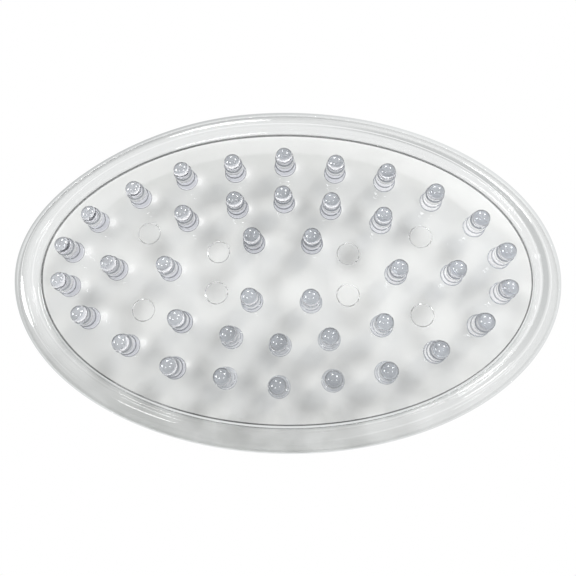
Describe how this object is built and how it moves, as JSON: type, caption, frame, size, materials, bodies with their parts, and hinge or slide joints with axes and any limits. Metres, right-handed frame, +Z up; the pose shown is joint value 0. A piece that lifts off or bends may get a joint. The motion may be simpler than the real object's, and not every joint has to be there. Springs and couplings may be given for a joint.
{
  "type": "soap dish",
  "caption": "Clear oval soap saver: a rounded rim carries a flat floor panel set with rows of domed pegs that hold a bar of soap clear of the water.",
  "frame": {"origin": "middle of the surface that the soap saver stands on, under the middle of the oval", "axes": "+X along the oval, +Y across it, +Z up through the pegs"},
  "size_m": [0.133, 0.085, 0.012],
  "materials": {
    "clear_rim": "clear, polished moulding",
    "clear_floor": "clear, polished moulding",
    "clear_pegs": "clear, polished moulding"
  },
  "bodies": {
    "root": {"rim": "clear_rim", "floor": "clear_floor", "peg_outer_01": "clear_pegs", "peg_outer_02": "clear_pegs", "peg_outer_03": "clear_pegs", "peg_outer_04": "clear_pegs", "peg_outer_05": "clear_pegs", "peg_outer_06": "clear_pegs", "peg_outer_07": "clear_pegs", "peg_outer_08": "clear_pegs", "peg_outer_09": "clear_pegs", "peg_outer_10": "clear_pegs", "peg_outer_11": "clear_pegs", "peg_outer_12": "clear_pegs", "peg_outer_13": "clear_pegs", "peg_outer_14": "clear_pegs", "peg_outer_15": "clear_pegs", "peg_outer_16": "clear_pegs", "peg_outer_17": "clear_pegs", "peg_outer_18": "clear_pegs", "peg_outer_19": "clear_pegs", "peg_outer_20": "clear_pegs", "peg_outer_21": "clear_pegs", "peg_outer_22": "clear_pegs", "peg_middle_01": "clear_pegs", "peg_middle_02": "clear_pegs", "peg_middle_03": "clear_pegs", "peg_middle_04": "clear_pegs", "peg_middle_05": "clear_pegs", "peg_middle_06": "clear_pegs", "peg_middle_07": "clear_pegs", "peg_middle_08": "clear_pegs", "peg_middle_09": "clear_pegs", "peg_middle_10": "clear_pegs", "peg_middle_11": "clear_pegs", "peg_middle_12": "clear_pegs", "peg_inner_01": "clear_pegs", "peg_inner_02": "clear_pegs", "peg_inner_03": "clear_pegs", "peg_inner_04": "clear_pegs", "peg_inner_05": "clear_pegs", "peg_inner_06": "clear_pegs"}
  },
  "joints": []
}
